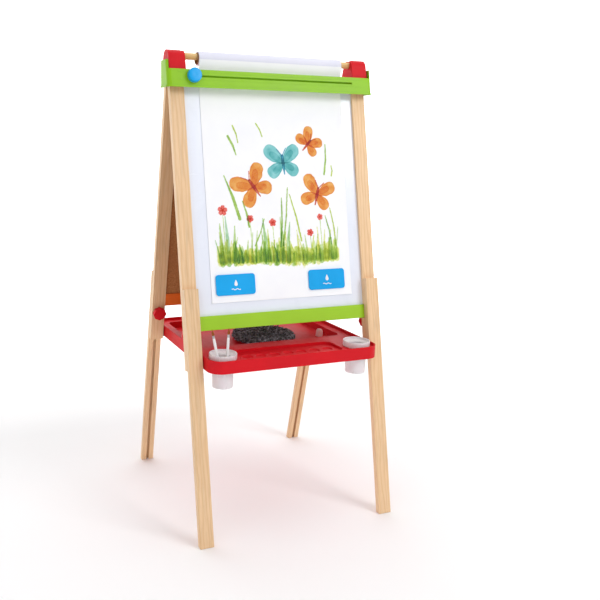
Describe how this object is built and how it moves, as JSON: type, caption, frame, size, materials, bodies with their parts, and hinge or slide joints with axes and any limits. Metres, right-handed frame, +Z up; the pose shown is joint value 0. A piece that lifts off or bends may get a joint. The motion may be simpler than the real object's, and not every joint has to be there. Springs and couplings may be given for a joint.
{
  "type": "kids easel",
  "caption": "Folding double-sided standing easel for a child: whiteboard and chalkboard frames, paper roll with sliding cutter, adjustable legs and a tray with paint cups.",
  "frame": {"origin": "on the floor, below the middle of the easel", "axes": "+Z up; front (whiteboard side) towards -Y; +X to the right seen from the front"},
  "size_m": [0.5138, 0.4874, 1.062],
  "materials": {
    "timber": "planed pale pine with a clear matt lacquer",
    "dowel_wood": "sanded beech rod",
    "green_paint": "satin paint on wood",
    "orange_paint": "satin paint on wood",
    "green_plastic": "moulded plastic",
    "red_plastic": "moulded plastic",
    "blue_plastic": "moulded plastic",
    "white_enamel": "white dry-wipe enamel on a thin board",
    "slate_paint": "black chalkboard paint on hardboard",
    "paper": "uncoated drawing paper",
    "card": "wound brown card",
    "steel": "zinc plated",
    "clear_plastic": "translucent moulded plastic",
    "white_plastic": "moulded plastic",
    "bristle": "nylon bristles",
    "duster_pile": "looped pile",
    "chalk": "pressed chalk"
  },
  "bodies": {
    "front_frame": {"front_left_stile": "timber", "front_right_stile": "timber", "front_bottom_rail": "green_paint", "front_top_rail": "timber", "whiteboard": "white_enamel", "cutter_header": "green_plastic", "cutter_guide": "green_plastic", "left_hinge_bracket": "red_plastic", "right_hinge_bracket": "red_plastic", "left_hinge_pin": "steel", "right_hinge_pin": "steel", "roll_dowel": "dowel_wood", "paper_sheet": "paper", "front_left_clamp_bolt": "steel", "front_right_clamp_bolt": "steel", "front_left_guide_pin": "steel", "front_right_guide_pin": "steel", "front_left_tray_ledge": "steel", "front_right_tray_ledge": "steel"},
    "rear_frame": {"rear_left_stile": "timber", "rear_right_stile": "timber", "rear_bottom_rail": "orange_paint", "rear_top_rail": "orange_paint", "chalkboard": "slate_paint", "rear_left_clamp_bolt": "steel", "rear_right_clamp_bolt": "steel", "rear_left_guide_pin": "steel", "rear_right_guide_pin": "steel", "rear_left_tray_ledge": "steel", "rear_right_tray_ledge": "steel"},
    "paper_roll": {"roll_core": "card", "paper_roll": "paper"},
    "cutter": {"cutter_carriage": "green_plastic", "cutter_knob": "blue_plastic", "cutter_blade": "steel"},
    "left_magnet": {"left_magnet": "blue_plastic"},
    "right_magnet": {"right_magnet": "blue_plastic"},
    "tray": {"tray": "red_plastic"},
    "left_cup": {"left_cup": "clear_plastic", "left_cup_lid": "clear_plastic"},
    "right_cup": {"right_cup": "clear_plastic", "right_cup_lid": "clear_plastic"},
    "left_brush": {"left_brush_handle": "white_plastic", "left_brush_bristles": "bristle"},
    "right_brush": {"right_brush_handle": "white_plastic", "right_brush_bristles": "bristle"},
    "duster": {"duster_pad": "duster_pile"},
    "chalk": {"chalk_stub": "chalk"},
    "front_left_leg": {"front_left_leg": "timber"},
    "front_left_knob": {"front_left_clamp_knob": "red_plastic"},
    "front_right_leg": {"front_right_leg": "timber"},
    "front_right_knob": {"front_right_clamp_knob": "red_plastic"},
    "rear_left_leg": {"rear_left_leg": "timber"},
    "rear_left_knob": {"rear_left_clamp_knob": "red_plastic"},
    "rear_right_leg": {"rear_right_leg": "timber"},
    "rear_right_knob": {"rear_right_clamp_knob": "red_plastic"}
  },
  "joints": [
    {"name": "rear_frame_fold", "type": "hinge", "parent": "front_frame", "child": "rear_frame", "pos_m": [0, 0.00876, 1.00418], "axis": [-1, 0, 0], "range_deg": [0, 20.5]},
    {"name": "front_left_leg_slide", "type": "slide", "parent": "front_frame", "child": "front_left_leg", "axis": [0, -0.2079, -0.9781], "range_m": [-0.3, 0.05]},
    {"name": "front_left_knob_turn", "type": "hinge", "parent": "front_frame", "child": "front_left_knob", "pos_m": [-0.22875, -0.11955, 0.44806], "axis": [0, 0.9781, -0.2079], "range_deg": [0, 360]},
    {"name": "front_right_leg_slide", "type": "slide", "parent": "front_frame", "child": "front_right_leg", "axis": [0, -0.2079, -0.9781], "range_m": [-0.3, 0.05]},
    {"name": "front_right_knob_turn", "type": "hinge", "parent": "front_frame", "child": "front_right_knob", "pos_m": [0.22875, -0.11955, 0.44806], "axis": [0, 0.9781, -0.2079], "range_deg": [0, 360]},
    {"name": "rear_left_leg_slide", "type": "slide", "parent": "rear_frame", "child": "rear_left_leg", "axis": [0, 0.2079, -0.9781], "range_m": [-0.3, 0.05]},
    {"name": "rear_left_knob_turn", "type": "hinge", "parent": "rear_frame", "child": "rear_left_knob", "pos_m": [-0.22875, 0.11955, 0.44806], "axis": [0, -0.9781, -0.2079], "range_deg": [0, 360]},
    {"name": "rear_right_leg_slide", "type": "slide", "parent": "rear_frame", "child": "rear_right_leg", "axis": [0, 0.2079, -0.9781], "range_m": [-0.3, 0.05]},
    {"name": "rear_right_knob_turn", "type": "hinge", "parent": "rear_frame", "child": "rear_right_knob", "pos_m": [0.22875, 0.11955, 0.44806], "axis": [0, -0.9781, -0.2079], "range_deg": [0, 360]},
    {"name": "paper_roll_spin", "type": "hinge", "parent": "front_frame", "child": "paper_roll", "pos_m": [0.004, 0, 1.04655], "axis": [1, 0, 0], "continuous": true},
    {"name": "cutter_travel", "type": "slide", "parent": "front_frame", "child": "cutter", "axis": [1, 0, 0], "range_m": [0, 0.39]},
    {"name": "left_magnet_pull", "type": "slide", "parent": "front_frame", "child": "left_magnet", "axis": [0, -0.9781, 0.2079], "range_m": [0, 0.03]},
    {"name": "right_magnet_pull", "type": "slide", "parent": "front_frame", "child": "right_magnet", "axis": [0, -0.9781, 0.2079], "range_m": [0, 0.03]},
    {"name": "tray_lift", "type": "slide", "parent": "front_frame", "child": "tray", "axis": [0, 0, 1], "range_m": [0, 0.02]},
    {"name": "left_cup_lift", "type": "slide", "parent": "tray", "child": "left_cup", "axis": [0, 0, 1], "range_m": [0, 0.1]},
    {"name": "right_cup_lift", "type": "slide", "parent": "tray", "child": "right_cup", "axis": [0, 0, 1], "range_m": [0, 0.1]},
    {"name": "left_brush_lift", "type": "slide", "parent": "left_cup", "child": "left_brush", "axis": [-0.2071, 0, 0.9783], "range_m": [0, 0.12]},
    {"name": "right_brush_lift", "type": "slide", "parent": "left_cup", "child": "right_brush", "axis": [0.0429, 0, 0.9991], "range_m": [0, 0.12]},
    {"name": "duster_lift", "type": "slide", "parent": "tray", "child": "duster", "axis": [0, 0, 1], "range_m": [0, 0.02]},
    {"name": "chalk_lift", "type": "slide", "parent": "tray", "child": "chalk", "axis": [0, 0, 1], "range_m": [0, 0.05]}
  ]
}
